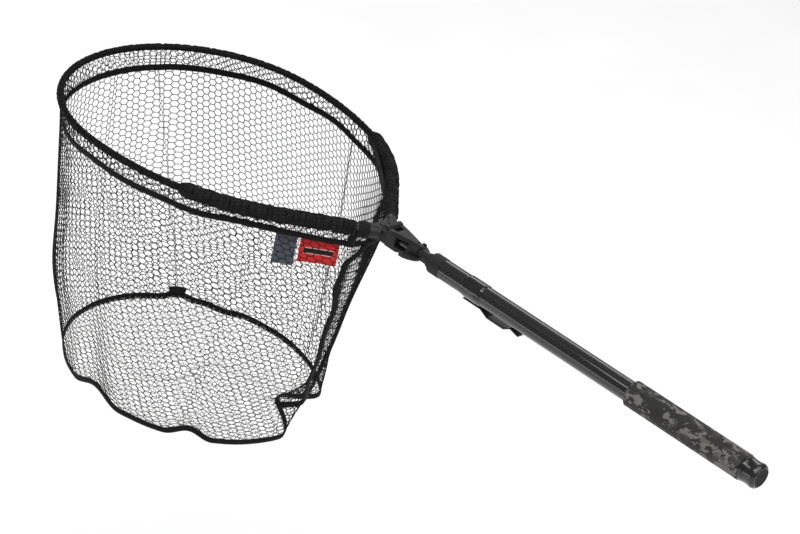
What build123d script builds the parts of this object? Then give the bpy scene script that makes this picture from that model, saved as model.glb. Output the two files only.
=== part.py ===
"""Folding landing net with a telescopic handle.

Row frame in millimetres: origin at the middle of the grip, +X along the handle towards the butt,
-X towards the net, +Z up and the bag hanging down.
"""

import os
from math import cos, hypot, pi, radians, sin

from build123d import *

# ---------------------------------------------------------------- handle, driving dimensions
GRIP_R = 17.0
GRIP_HALF = 88.0
GRIP_CHAMFER = 1.0
TUBE_R = 13.45
TUBE_BORE_R = 12.45
TUBE_MOUTH_X = -402.7
TUBE_END_X = 96.0
BUTT_R = 16.15
BUTT_WAIST_R = 15.5
BUTT_DISC_R = 11.6
BUTT_END_X = 112.5
CLIP_RING_X = (-363.0, -331.0)
CLIP_RING_R = 14.4
FIT = 0.05  # radial room between parts that are glued or pushed together

# ---------------------------------------------------------------- telescopic pole
INNER_R = 11.8
INNER_BORE_R = 10.8
INNER_END_X = 50.0
COLLAR_X = (-424.0, -403.2)
COLLAR_R = 13.65
NECK_R = 7.75
NECK_SHOULDER_X = -447.5
ROD_R = 5.3
ROD_FRONT_X = -470.0
STUD_R = 5.0

# ---------------------------------------------------------------- folding joint and its release
HINGE_X = -498.0
HINGE_Z = 11.0
PIN_R = 2.0
KNUCKLE_R = 5.5
TONGUE_HALF = 6.6
HOUSING_HALF = 13.0
HOUSING_FRONT_X = -495.7
HOUSING_TIP_X = -445.0
PLUNGER_R = 7.6
PLUNGER_X = (-493.0, -456.0)
NOSE_TIP_X = -498.2
WING_TIP_X = (-463.0, -456.5)
WING_REAR_X = -440.5
WING_SPAN = 22.5
WING_Z = (-5.0, -1.0)
WING_PAD = (6.0, 1.6, 7.0)

# ---------------------------------------------------------------- yoke and hoop
YOKE_REAR_X = -496.0
YOKE_Z = (-9.0, 7.0)
SOCKET_R = 8.5
HOOP_TIP_X = -1045.0
HOOP_ARCS = ((194.0, 86.0), (385.0, 20.0), (300.0, 29.5))  # radius and turn of each arc from the tip
HOOP_TUBE_R = 3.2
ARM_STOP_Y = 16.0  # the arms end here inside the sockets
NOSE_Y = 38.0  # the net leaves the arms here and closes round the head end
FERRULE_R = 7.0
FERRULE_LENGTH = 8.0
FLOAT_R = 9.5
FLOAT_TAPER = 12.0
FLOAT_TIP_R = 6.0
FLOAT_INSET = 25.0  # the floats stop this far short of the last arc's outer end
SLEEVE_R = (3.5, 4.2)

# ---------------------------------------------------------------- bag
BAG_TOP_Z = -10.4
BAND_Z = (-30.5, -21.5)
BASE_BAND_Z = (-365.5, -356.5)
RING_CENTRE_X = -790.0
RING_HALF_LENGTH = 189.0
RING_HALF_WIDTH = 168.0
BULGE = 11.0  # how far the hanging wall swells past a straight line from hoop to base
CLOTH = 1.4  # thickness of the netting solid
OUTLINE_POINTS = 24
WALL_PANELS = 8  # the wall is one net, divided here into upright panels
WALL_SPAN = 65.0  # height of one straight run of the wall's side profile

os.makedirs("parts", exist_ok=True)


def save(builder, name):
    """Label the finished piece and write it out."""
    builder.part.label = name
    export_step(builder.part, f"parts/{name}.step")


def along_x(x):
    """Plane square to the handle at station x."""
    return Plane(origin=(x, 0, 0), x_dir=(0, 1, 0), z_dir=(1, 0, 0))


def ring(x_from, x_to, outer, inner=0.0, mode=Mode.ADD):
    """Tube, washer or disc about the handle axis, added to the part being built."""
    with BuildSketch(along_x(x_from)) as section:
        Circle(outer)
        if inner:
            Circle(inner, mode=Mode.SUBTRACT)
    extrude(section.sketch, amount=x_to - x_from, mode=mode)


def bore(x_from, x_to, radius):
    """Round hole about the handle axis, cut from the part being built."""
    ring(x_from, x_to, radius, mode=Mode.SUBTRACT)


# ================================================================ handle
with BuildPart() as handle_tube:
    ring(TUBE_MOUTH_X, TUBE_END_X, TUBE_R, TUBE_BORE_R)
save(handle_tube, "handle_tube")

with BuildPart() as grip:
    ring(-GRIP_HALF, GRIP_HALF, GRIP_R, TUBE_R + FIT)
    rims = grip.edges().filter_by(GeomType.CIRCLE).group_by(SortBy.RADIUS)[-1]
    chamfer(rims, GRIP_CHAMFER)
save(grip, "grip")

with BuildPart() as butt_cap:
    with BuildSketch(Plane.XZ):
        with BuildLine():
            foot = Line((GRIP_HALF + 0.2, 0), (GRIP_HALF + 0.2, BUTT_WAIST_R - 0.4))
            shoulder = ThreePointArc(foot @ 1, (GRIP_HALF + 1.2, BUTT_R - 0.2), (GRIP_HALF + 3.5, BUTT_R))
            waist = ThreePointArc(shoulder @ 1, (GRIP_HALF + 10.0, BUTT_WAIST_R), (BUTT_END_X - 7.0, BUTT_R))
            lip = ThreePointArc(waist @ 1, (BUTT_END_X - 2.2, BUTT_R - 0.9), (BUTT_END_X, BUTT_R - 3.6))
            Polyline(lip @ 1, (BUTT_END_X, 0), foot @ 0)
        make_face()
    revolve(axis=Axis.X)
    bore(GRIP_HALF, TUBE_END_X + 0.2, TUBE_R + FIT)
    bore(BUTT_END_X - 1.2, BUTT_END_X, BUTT_DISC_R + 0.1)
save(butt_cap, "butt_cap")

with BuildPart() as butt_disc:
    ring(BUTT_END_X - 1.2, BUTT_END_X - 0.6, BUTT_DISC_R)
    with BuildSketch(along_x(BUTT_END_X - 0.6)):
        with PolarLocations(8.4, 10):
            Circle(1.3)
        with PolarLocations(4.4, 5):
            Circle(1.2)
        Circle(1.6)
    extrude(amount=0.6)
save(butt_disc, "butt_disc")

with BuildPart() as butt_plug:
    ring(82.0, TUBE_END_X, TUBE_BORE_R - FIT, 9.0)
save(butt_plug, "butt_plug")

RING_SCREW_X = CLIP_RING_X[1] - 6.0
with BuildPart() as clip_ring:
    with BuildSketch(Plane.XZ):
        with BuildLine():
            Polyline(
                (CLIP_RING_X[0], TUBE_R + FIT),
                (CLIP_RING_X[0], TUBE_R + 0.3),
                (CLIP_RING_X[0] + 3.0, CLIP_RING_R),
                (CLIP_RING_X[1] - 3.0, CLIP_RING_R),
                (CLIP_RING_X[1], TUBE_R + 0.3),
                (CLIP_RING_X[1], TUBE_R + FIT),
                close=True,
            )
        make_face()
    revolve(axis=Axis.X)
    with BuildSketch(Plane(origin=(RING_SCREW_X, 0, 0), x_dir=(1, 0, 0), z_dir=(0, -1, 0))):
        Circle(2.3)
    extrude(amount=CLIP_RING_R + 1, mode=Mode.SUBTRACT)
save(clip_ring, "clip_ring")

with BuildPart() as ring_screw:
    with BuildSketch(Plane(origin=(RING_SCREW_X, -TUBE_R - 0.1, 0), x_dir=(1, 0, 0), z_dir=(0, -1, 0))):
        Circle(2.2)
    extrude(amount=1.1)
    fillet(ring_screw.edges().filter_by(GeomType.CIRCLE).sort_by(Axis.Y)[0], 0.5)
save(ring_screw, "ring_screw")

CLIP_FOOT_Z = -CLIP_RING_R - 0.1
CLIP_DEPTH = 6.8
CLIP_THICK = 1.8
CLIP_HALF_WIDTH = 6.0
with BuildPart() as belt_clip:
    with BuildSketch(Plane.XZ.offset(-CLIP_HALF_WIDTH)):
        with BuildLine():
            spine = Polyline(
                (CLIP_RING_X[0] + 3, CLIP_FOOT_Z - CLIP_THICK / 2),
                (CLIP_RING_X[1], CLIP_FOOT_Z - CLIP_THICK / 2),
                (CLIP_RING_X[1] + 13, CLIP_FOOT_Z - CLIP_DEPTH),
                (CLIP_RING_X[1] + 41, CLIP_FOOT_Z - CLIP_DEPTH),
                (CLIP_RING_X[1] + 51, CLIP_FOOT_Z - CLIP_THICK / 2 - 0.1),
                (CLIP_RING_X[1] + 65, CLIP_FOOT_Z - 4.4),
            )
            offset(spine, amount=CLIP_THICK / 2, side=Side.BOTH)
        make_face()
    extrude(amount=2 * CLIP_HALF_WIDTH)
save(belt_clip, "belt_clip")

# ================================================================ telescopic pole
with BuildPart() as inner_tube:
    ring(COLLAR_X[0] + 3.2, INNER_END_X, INNER_R, INNER_BORE_R)
save(inner_tube, "inner_tube")

with BuildPart() as top_collar:
    ring(*COLLAR_X, COLLAR_R)
    bore(COLLAR_X[0] + 3.2, COLLAR_X[1], INNER_R + FIT)
    bore(COLLAR_X[0], COLLAR_X[0] + 3.2, NECK_R + FIT)
    outer_rims = top_collar.edges().filter_by(GeomType.CIRCLE).group_by(SortBy.RADIUS)[-1]
    fillet(outer_rims.sort_by(Axis.X)[0], 3.0)
save(top_collar, "top_collar")

INSERT_X = (COLLAR_X[0] + 3.4, -396.0)
with BuildPart() as pole_insert:
    ring(*INSERT_X, INNER_BORE_R - FIT, STUD_R + FIT)
save(pole_insert, "pole_insert")

with BuildPart() as lock_stem:
    ring(30.0, INNER_END_X, INNER_BORE_R - FIT)
    ring(INNER_END_X, 76.0, 4.0)
    ring(74.0, 76.0, 8.0)
save(lock_stem, "lock_stem")

with BuildPart() as lock_sleeve:
    ring(INNER_END_X + 2.0, 73.5, TUBE_BORE_R - 0.3, 4.1)
    with Locations((INNER_END_X + 12.0, 0, TUBE_BORE_R / 2 + 3)):
        Box(26.0, 2.0, TUBE_BORE_R, mode=Mode.SUBTRACT)
save(lock_sleeve, "lock_sleeve")

with BuildPart() as pole_neck:
    ring(NECK_SHOULDER_X, INSERT_X[0] - 0.1, NECK_R)
    ring(ROD_FRONT_X, NECK_SHOULDER_X, ROD_R)
    ring(INSERT_X[0] - 0.1, INSERT_X[1] - 2.0, STUD_R)
    with BuildSketch(Plane.XY.offset(-ROD_R)):
        with Locations((-452.0, 0)):
            Circle(1.5 + FIT)
    extrude(amount=2 * ROD_R + 4, mode=Mode.SUBTRACT)
save(pole_neck, "pole_neck")

with BuildPart() as lock_nut:
    with BuildSketch(along_x(-430.0)):
        RegularPolygon(radius=9.6, side_count=8, major_radius=True)
        Circle(NECK_R + FIT, mode=Mode.SUBTRACT)
    extrude(amount=5.9)
    chamfer(lock_nut.edges().filter_by(GeomType.LINE).filter_by(Axis.X, reverse=True), 0.4)
save(lock_nut, "lock_nut")

# ---------------------------------------------------------------- hinge housing
ROOF_Z = 13.5
ROOF_NOTCH_X = -484.0
ROOF_NOTCH_Z = 8.5
FLOOR_Z = -10.0
WINDOW_X = (-480.0, -461.5)
RIB_HALF = 3.0
HOOD_BORE_R = 10.95
with BuildPart() as hinge_housing:
    with BuildSketch(Plane.XZ.offset(-HOUSING_HALF)):
        with BuildLine():
            Polyline(
                (HOUSING_FRONT_X, FLOOR_Z),
                (-476.0, FLOOR_Z),
                (-459.0, -4.0),
                (HOUSING_TIP_X, 11.5),
                (-452.0, 12.6),
                (-474.0, ROOF_Z),
                (HINGE_X, ROOF_Z),
                (HOUSING_FRONT_X, 4.6),
                close=True,
            )
        make_face()
        with Locations((HINGE_X, HINGE_Z)):
            Circle(KNUCKLE_R)
    extrude(amount=2 * HOUSING_HALF)
    # flanks lean in towards the tip, so the roof narrows to a ridge
    for side in (-1, 1):
        flank = Plane(origin=(-490.0, side * 12.6, ROOF_Z), z_dir=(193, side * 741, 359))
        split(bisect_by=flank, keep=Keep.BOTTOM)
    # slot for the tongue, and room for its knuckle to turn
    with Locations((HINGE_X - 4.0, 0, HINGE_Z)):
        Box(16.0, 2 * TONGUE_HALF + 0.6, 30.0, mode=Mode.SUBTRACT)
    with BuildSketch(Plane.XZ.offset(-TONGUE_HALF - 0.3)):
        with Locations((HINGE_X, HINGE_Z)):
            Circle(KNUCKLE_R + 0.8)
    extrude(amount=2 * TONGUE_HALF + 0.6, mode=Mode.SUBTRACT)
    # notch in the roof where the tongue's root lies once the head is folded
    with Locations((ROOF_NOTCH_X, 0, ROOF_NOTCH_Z)):
        Box(
            ROOF_NOTCH_X - HINGE_X - 4.0,
            2 * TONGUE_HALF + 0.6,
            ROOF_Z,
            align=(Align.MAX, Align.CENTER, Align.MIN),
            mode=Mode.SUBTRACT,
        )
    # barrel for the plunger, wider under the hood where the wing sleeve slides
    bore(HOUSING_FRONT_X - 1, WINDOW_X[1], PLUNGER_R + 0.35)
    bore(WINDOW_X[1], HOUSING_TIP_X + 6, HOOD_BORE_R)
    # side windows
    with Locations(((WINDOW_X[0] + WINDOW_X[1]) / 2, 0, 2.0)):
        Box(WINDOW_X[1] - WINDOW_X[0], 2 * HOUSING_HALF + 2, 13.0, mode=Mode.SUBTRACT)
    # key rib that ties the roof to the neck
    with BuildSketch(Plane.XZ.offset(-RIB_HALF)):
        with BuildLine():
            Polyline((-457.7, 4.4), (NECK_SHOULDER_X, 4.4), (NECK_SHOULDER_X, 7.0),
                     (HOUSING_TIP_X, 7.0), (HOUSING_TIP_X, 11.5), (-457.7, 12.6), close=True)
        make_face()
    extrude(amount=2 * RIB_HALF)
    bore(-460.0, NECK_SHOULDER_X, ROD_R + 0.02)
    bore(NECK_SHOULDER_X, NECK_SHOULDER_X + 10.0, NECK_R + 0.02)
    with BuildSketch(Plane.XZ.offset(-HOUSING_HALF - 2)):
        with Locations((HINGE_X, HINGE_Z)):
            Circle(PIN_R + 0.01)
    extrude(amount=2 * HOUSING_HALF + 4, mode=Mode.SUBTRACT)
    with BuildSketch(Plane.XY.offset(2.0)):
        with Locations((-452.0, 0)):
            Circle(1.5 + FIT)
    extrude(amount=ROOF_Z, mode=Mode.SUBTRACT)
save(hinge_housing, "hinge_housing")

with BuildPart() as housing_screw:
    with BuildSketch(Plane.XY.offset(-3.0)):
        with Locations((-452.0, 0)):
            Circle(1.5)
    extrude(amount=15.0)
save(housing_screw, "housing_screw")

with BuildPart() as hinge_pin:
    with BuildSketch(Plane.XZ.offset(-HOUSING_HALF - 0.1)):
        with Locations((HINGE_X, HINGE_Z)):
            Circle(PIN_R)
    extrude(amount=2 * HOUSING_HALF + 0.2)
    for head_y in (-HOUSING_HALF - 0.1, HOUSING_HALF + 1.2):
        with BuildSketch(Plane(origin=(HINGE_X, head_y, HINGE_Z), x_dir=(1, 0, 0), z_dir=(0, -1, 0))):
            Circle(3.2)
        extrude(amount=1.1)
save(hinge_pin, "hinge_pin")

# ================================================================ release
with BuildPart() as lock_plunger:
    ring(*PLUNGER_X, PLUNGER_R)
    ring(NOSE_TIP_X, PLUNGER_X[0], 4.0)
    chamfer(lock_plunger.edges().filter_by(GeomType.CIRCLE).sort_by(Axis.X)[0], 1.2)
    bore(-486.0, PLUNGER_X[1], ROD_R + 0.3)
    with Locations(((-466.3 + PLUNGER_X[1]) / 2, 0, PLUNGER_R)):
        Box(PLUNGER_X[1] + 466.3, 2 * RIB_HALF + 0.6, 2 * PLUNGER_R, mode=Mode.SUBTRACT)
save(lock_plunger, "lock_plunger")

with BuildPart() as release_wings:
    ring(-461.0, -446.0, 10.6, PLUNGER_R + 0.01)
    bore(PLUNGER_X[1], -446.0, NECK_R + 0.3)
    with Locations((-453.5, 0, 8.0)):
        Box(16.0, 2 * RIB_HALF + 0.8, 16.0, mode=Mode.SUBTRACT)
    for side in (-1, 1):
        with BuildSketch(Plane.XY.offset(WING_Z[0])):
            with BuildLine():
                root = Line((WING_TIP_X[1] + 0.5, side * 8.6), (WING_TIP_X[1] + 0.5, side * 13.6))
                front = Line(root @ 1, (WING_TIP_X[0], side * (WING_SPAN - 3.0)))
                tip = ThreePointArc(front @ 1, (WING_TIP_X[0] + 0.8, side * (WING_SPAN - 0.8)),
                                    (WING_TIP_X[0] + 3.0, side * WING_SPAN))
                edge = Line(tip @ 1, (WING_TIP_X[1], side * WING_SPAN))
                sweep_back = ThreePointArc(edge @ 1, (WING_TIP_X[1] + 8.0, side * (WING_SPAN - 3.5)),
                                           (WING_REAR_X, side * 12.0))
                Polyline(sweep_back @ 1, (WING_REAR_X, side * 8.6), root @ 0)
            make_face()
        extrude(amount=WING_Z[1] - WING_Z[0])
        with Locations((WING_TIP_X[1] - WING_PAD[0] / 2, side * (WING_SPAN - WING_PAD[1] / 2), WING_Z[0])):
            Box(*WING_PAD, align=(Align.CENTER, Align.CENTER, Align.MIN))
save(release_wings, "release_wings")

SPRING_R = 4.5
WIRE_R = 0.5
with BuildPart() as release_spring:
    with BuildLine():
        coil = Helix(pitch=2.8, height=14.0, radius=SPRING_R, center=(-485.0, 0, 0), direction=(1, 0, 0))
    with BuildSketch(Plane(origin=coil @ 0, z_dir=coil % 0)):
        Circle(WIRE_R)
    sweep(path=coil, is_frenet=True)
save(release_spring, "release_spring")

# ================================================================ yoke
ARM_HEADING = 90.0 - sum(turn for _, turn in HOOP_ARCS)
ARM_DIR = Vector(cos(radians(ARM_HEADING)), sin(radians(ARM_HEADING)))
ARM_OUT = {side: Vector(-ARM_DIR.X, -side * ARM_DIR.Y) for side in (-1, 1)}


def half_hoop(stop_y):
    """Centre line of half the hoop from the tip towards the +Y arm, ending at y = stop_y."""
    lines = [JernArc((HOOP_TIP_X, 0), (0, 1), HOOP_ARCS[0][0], -HOOP_ARCS[0][1], mode=Mode.PRIVATE)]
    for radius, turn in HOOP_ARCS[1:]:
        lines.append(JernArc(lines[-1] @ 1, lines[-1] % 1, radius, -turn, mode=Mode.PRIVATE))
    start = lines[-1] @ 1
    lines.append(Line(start, start + ARM_DIR * ((stop_y - start.Y) / ARM_DIR.Y), mode=Mode.PRIVATE))
    return lines


HALF_HOOP = half_hoop(ARM_STOP_Y)
ARM_END = HALF_HOOP[-1] @ 1
SOCKET_LENGTH = 11.0  # depth of the tube in its socket
SOCKET_ROOT = 10.0  # how far the socket runs on into the yoke behind the tube's end


def arm_plane(side, distance):
    """Plane square to one arm, at a distance outwards from the tube's end."""
    end = Vector(ARM_END.X, side * ARM_END.Y)
    return Plane(origin=end + ARM_OUT[side] * distance, z_dir=ARM_OUT[side])


SIDE_SCREW = (-501.0, 12.7, 0.0)
COVER_SCREW_X = -512.0
with BuildPart() as yoke:
    with BuildSketch(Plane.XY.offset(YOKE_Z[0])):
        with BuildLine():
            Polyline((-521.0, 0), (-521.5, 8.0), (-526.0, 14.5), (-518.5, 22.0), (-511.0, 18.0),
                     (-505.5, 12.7), (YOKE_REAR_X, 12.7), (YOKE_REAR_X, 0))
            mirror(about=Plane.XZ)
        make_face()
    extrude(amount=YOKE_Z[1] - YOKE_Z[0])
    for side in (-1, 1):
        with BuildSketch(arm_plane(side, -SOCKET_ROOT)):
            Circle(SOCKET_R)
        extrude(amount=SOCKET_ROOT + SOCKET_LENGTH)
        with BuildSketch(arm_plane(side, 0.0)):
            Circle(HOOP_TUBE_R + FIT)
        extrude(amount=SOCKET_LENGTH + 1, mode=Mode.SUBTRACT)
    # room for the housing's two ears to stay clear of the yoke
    with BuildSketch(Plane.XZ.offset(-HOUSING_HALF - 2)):
        with Locations((HINGE_X, HINGE_Z)):
            Circle(KNUCKLE_R + 0.8)
    extrude(amount=2 * HOUSING_HALF + 4, mode=Mode.SUBTRACT)
    # tongue with the pin's knuckle
    with BuildSketch(Plane.XZ.offset(-TONGUE_HALF)):
        with Locations((HINGE_X, HINGE_Z)):
            Circle(KNUCKLE_R)
        with BuildLine():
            Polyline((HINGE_X - KNUCKLE_R, HINGE_Z), (-509.0, YOKE_Z[1]), (-509.0, -2.0),
                     (YOKE_REAR_X, -2.0), (YOKE_REAR_X, HINGE_Z - 5.0), close=True)
        make_face()
    extrude(amount=2 * TONGUE_HALF)
    with BuildSketch(Plane.XZ.offset(-HOUSING_HALF - 2)):
        with Locations((HINGE_X, HINGE_Z)):
            Circle(PIN_R + 0.06)
    extrude(amount=2 * HOUSING_HALF + 4, mode=Mode.SUBTRACT)
    # recess that the plunger's nose stands in
    bore(-499.8, YOKE_REAR_X, 5.0)
    with BuildSketch(Plane.XY.offset(-2.0)):
        with Locations((COVER_SCREW_X, 0)):
            Circle(1.5 + FIT)
    extrude(amount=20.0, mode=Mode.SUBTRACT)
    with BuildSketch(Plane(origin=(SIDE_SCREW[0], 20.0, SIDE_SCREW[2]), x_dir=(1, 0, 0), z_dir=(0, -1, 0))):
        Circle(1.2 + FIT)
    extrude(amount=40.0, mode=Mode.SUBTRACT)
save(yoke, "yoke")

COVER_TOP_Z = YOKE_Z[1] + 1.0
with BuildPart() as yoke_cover:
    with BuildSketch(Plane.XY.offset(YOKE_Z[1])):
        with BuildLine():
            Polyline((-519.5, 0), (-518.5, 3.5), (-514.5, 4.8), (-509.5, 4.8), (-509.5, 0))
            mirror(about=Plane.XZ)
        make_face()
        with Locations((COVER_SCREW_X, 0)):
            Circle(2.3, mode=Mode.SUBTRACT)
    extrude(amount=COVER_TOP_Z - YOKE_Z[1])
save(yoke_cover, "yoke_cover")

with BuildPart() as cover_screw:
    with BuildSketch(Plane.XY.offset(YOKE_Z[1] + 0.1)):
        with Locations((COVER_SCREW_X, 0)):
            Circle(2.2)
            RegularPolygon(1.1, 6, mode=Mode.SUBTRACT)
    extrude(amount=0.8)
    with BuildSketch(Plane.XY.offset(-1.5)):
        with Locations((COVER_SCREW_X, 0)):
            Circle(1.5)
    extrude(amount=YOKE_Z[1] + 1.7)
save(cover_screw, "cover_screw")

with BuildPart() as side_screws:
    for side in (-1, 1):
        face = Plane(origin=(SIDE_SCREW[0], side * (SIDE_SCREW[1] + 0.05), SIDE_SCREW[2]),
                     x_dir=(1, 0, 0), z_dir=(0, side, 0))
        with BuildSketch(face):
            Circle(2.1)
        extrude(amount=1.0)
        with BuildSketch(face):
            Circle(1.2)
        extrude(amount=-6.0)
save(side_screws, "side_screws")

# ================================================================ hoop
for side, name in ((-1, "ferrule_right"), (1, "ferrule_left")):
    with BuildPart() as ferrule:
        with BuildSketch(arm_plane(side, SOCKET_LENGTH + 0.1)):
            Circle(FERRULE_R)
            Circle(HOOP_TUBE_R + FIT, mode=Mode.SUBTRACT)
        extrude(amount=FERRULE_LENGTH)
        chamfer(ferrule.edges().filter_by(GeomType.CIRCLE).group_by(SortBy.RADIUS)[-1], 0.8)
    save(ferrule, name)

with BuildPart() as hoop_tube:
    with BuildLine():
        add(HALF_HOOP)
    with BuildSketch(Plane(origin=(HOOP_TIP_X, 0, 0), x_dir=(1, 0, 0), z_dir=(0, 1, 0))):
        Circle(HOOP_TUBE_R)
    sweep()
    mirror(about=Plane.XZ)
save(hoop_tube, "hoop_tube")

SLEEVE_TURN = (FLOAT_INSET - 0.6) / HOOP_ARCS[2][0] * 180.0 / pi
with BuildPart() as rim_sleeve:
    with BuildLine():
        tip_arc = JernArc((HOOP_TIP_X, 0), (0, 1), HOOP_ARCS[0][0], -HOOP_ARCS[0][1])
        side_arc = JernArc(tip_arc @ 1, tip_arc % 1, HOOP_ARCS[1][0], -HOOP_ARCS[1][1])
        JernArc(side_arc @ 1, side_arc % 1, HOOP_ARCS[2][0], -SLEEVE_TURN)
    with BuildSketch(Plane(origin=(HOOP_TIP_X, 0, 0), x_dir=(1, 0, 0), z_dir=(0, 1, 0))):
        Circle(SLEEVE_R[1])
        Circle(SLEEVE_R[0], mode=Mode.SUBTRACT)
    sweep()
    mirror(about=Plane.XZ)
save(rim_sleeve, "rim_sleeve")

FLOAT_START = SOCKET_LENGTH + FERRULE_LENGTH + 0.6
FLOAT_BORE_R = HOOP_TUBE_R + 0.2
FLOAT_TURN = HOOP_ARCS[2][1] - (FLOAT_INSET + FLOAT_TAPER) / HOOP_ARCS[2][0] * 180.0 / pi
for side, name in ((-1, "float_right"), (1, "float_left")):
    with BuildPart() as foam_float:
        start = arm_plane(side, FLOAT_START)
        bend_start = Vector((HALF_HOOP[2] @ 1).X, side * (HALF_HOOP[2] @ 1).Y)
        with BuildLine():
            arm_line = Line(start.origin, bend_start)
            bend = JernArc(arm_line @ 1, arm_line % 1, HOOP_ARCS[2][0], side * FLOAT_TURN)
        with BuildSketch(start):
            Circle(FLOAT_R)
            Circle(FLOAT_BORE_R, mode=Mode.SUBTRACT)
        sweep()
        with Locations(Plane(origin=bend @ 1, z_dir=bend % 1)):
            Cone(FLOAT_R, FLOAT_TIP_R, FLOAT_TAPER, align=(Align.CENTER, Align.CENTER, Align.MIN))
            Cylinder(FLOAT_BORE_R, FLOAT_TAPER, align=(Align.CENTER, Align.CENTER, Align.MIN), mode=Mode.SUBTRACT)
    save(foam_float, name)

# ================================================================ bag
NOSE_TURN = 90.0 + ARM_HEADING
NOSE_R = NOSE_Y / sin(radians(NOSE_TURN))
NOSE_LINES = half_hoop(NOSE_Y)
NOSE_LINES.append(JernArc(NOSE_LINES[-1] @ 1, NOSE_LINES[-1] % 1, NOSE_R, -NOSE_TURN))
HALF_OUTLINE = Wire([line.edge() for line in NOSE_LINES])
BASE_Z = sum(BASE_BAND_Z) / 2


def outline_point(share, side, depth):
    """Point of the bag's wall, share 0 at the tip and 1 at the head, on one side, at a depth share."""
    rim = HALF_OUTLINE.position_at(share * HALF_OUTLINE.length, position_mode=PositionMode.LENGTH)
    angle = pi * (1.0 - share)
    base_x = RING_CENTRE_X + RING_HALF_LENGTH * cos(angle)
    base_y = RING_HALF_WIDTH * sin(angle)
    return (rim.X + (base_x - rim.X) * depth, side * (rim.Y + (base_y - rim.Y) * depth))


def bulge(share, z):
    """Outward swell of the wall at height z, fading out towards the head, where the wall hangs straight."""
    return BULGE * (1.0 - share**6) * sin(pi * (z / BASE_Z) ** 1.6)


def outline(z, stand_out):
    """Closed curve of the bag's wall at height z, moved outwards by stand_out and by the bulge."""
    half = OUTLINE_POINTS // 2
    shares = [(k + 0.5) / half for k in range(half)]
    points = [outline_point(share, 1, z / BASE_Z) for share in shares]
    points += [outline_point(share, -1, z / BASE_Z) for share in reversed(shares)]
    moved = []
    for k, share in enumerate(shares + shares[::-1]):
        x, y = points[k]
        ahead = points[(k + 1) % OUTLINE_POINTS]
        behind = points[k - 1]
        dx, dy = ahead[0] - behind[0], ahead[1] - behind[1]
        out = (stand_out + bulge(share, z)) / hypot(dx, dy)
        moved.append((x - dy * out, y + dx * out))
    with BuildSketch(Plane.XY.offset(z)) as section:
        with BuildLine():
            Spline(moved, periodic=True)
        make_face()
    return section.sketch


def wall(top, bottom, thickness):
    """Ring of netting or tape between two heights, added to the part being built."""
    spans = max(1, round((top - bottom) / WALL_SPAN))
    heights = [top + (bottom - top) * k / spans for k in range(spans + 1)]
    loft([outline(z, thickness / 2) for z in heights], ruled=True)
    loft([outline(z, -thickness / 2) for z in heights], ruled=True, mode=Mode.SUBTRACT)


BAND_THICKNESS = CLOTH + 1.0
with BuildPart() as bag_skirt:
    wall(BAG_TOP_Z, BAND_Z[1] + 0.05, CLOTH)
save(bag_skirt, "bag_skirt")

with BuildPart() as upper_band:
    wall(BAND_Z[1], BAND_Z[0], BAND_THICKNESS)
save(upper_band, "upper_band")

PANEL_REACH = 700.0  # longer than any way from the bag's middle to its wall
PANEL_ANGLE = 360.0 / WALL_PANELS
for number in range(WALL_PANELS):
    with BuildPart() as wall_panel:
        wall(BAND_Z[0] - 0.05, BASE_BAND_Z[1] + 0.05, CLOTH)
        with BuildSketch(Plane(origin=(RING_CENTRE_X, 0, BASE_Z))):
            with BuildLine():
                near_edge = PolarLine((0, 0), PANEL_REACH, number * PANEL_ANGLE)
                far_edge = PolarLine((0, 0), PANEL_REACH, (number + 1) * PANEL_ANGLE)
                Line(near_edge @ 1, far_edge @ 1)
            make_face()
        extrude(amount=-BASE_Z, mode=Mode.INTERSECT)
    save(wall_panel, f"bag_wall_{number + 1}")

with BuildPart() as base_band:
    wall(BASE_BAND_Z[1], BASE_BAND_Z[0], BAND_THICKNESS)
save(base_band, "base_band")

with BuildPart() as bag_base:
    extrude(outline(BASE_BAND_Z[0] - 0.05, 0.0), amount=-CLOTH)
save(bag_base, "bag_base")

TAPE_WIDTH = 9.0
TAPE_STAND_OUT = (1.1, 2.2)
TAPE_HEIGHTS = [BAND_Z[0] + (BASE_BAND_Z[1] - BAND_Z[0]) * k / 5 for k in range(6)]


def seam_point(z, stand_out):
    """Point on the wall's centre line under the head, in the XZ plane."""
    last_share = 1.0 - 1.0 / OUTLINE_POINTS
    return (outline_point(1.0, 1, z / BASE_Z)[0] + bulge(last_share, z) + stand_out, z)


with BuildPart() as seam_tape:
    with BuildSketch(Plane.XZ.offset(-TAPE_WIDTH / 2)):
        with BuildLine():
            Polyline(
                [seam_point(z, TAPE_STAND_OUT[0]) for z in TAPE_HEIGHTS]
                + [seam_point(z, TAPE_STAND_OUT[1]) for z in reversed(TAPE_HEIGHTS)],
                close=True,
            )
        make_face()
    extrude(amount=TAPE_WIDTH)
save(seam_tape, "seam_tape")

TAG_INSET = 6.0
TAG_THICKNESS = 1.0
TAGS = (("grey_tag", 0.157, 28.0, (-74.0, -31.0)), ("red_tag", 0.094, 50.0, (-66.0, -31.0)))
for name, from_nose, width, (low, high) in TAGS:
    depth = (low + high) / 2 / BASE_Z
    here = Vector(*outline_point(1.0 - from_nose, -1, depth))
    nearby = Vector(*outline_point(0.99 - from_nose, -1, depth))
    tangent = (nearby - here).normalized()
    inwards = Vector(tangent.Y, -tangent.X)
    inwards = inwards if inwards.X < 0 else inwards * -1
    with BuildPart() as tag:
        corner = here + inwards * TAG_INSET + Vector(0, 0, low)
        with BuildSketch(Plane(origin=corner, x_dir=tangent, z_dir=(0, 0, 1))):
            Rectangle(width, TAG_THICKNESS)
        extrude(amount=high - low)
    save(tag, name)
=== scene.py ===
"""Looks of the folding landing net: mesh bag, wrapped rim, floats, tapes, labels and all materials."""

from math import cos, pi, radians, sin, sqrt

import bpy
import numpy as np
from mathutils import Matrix, Vector


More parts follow.
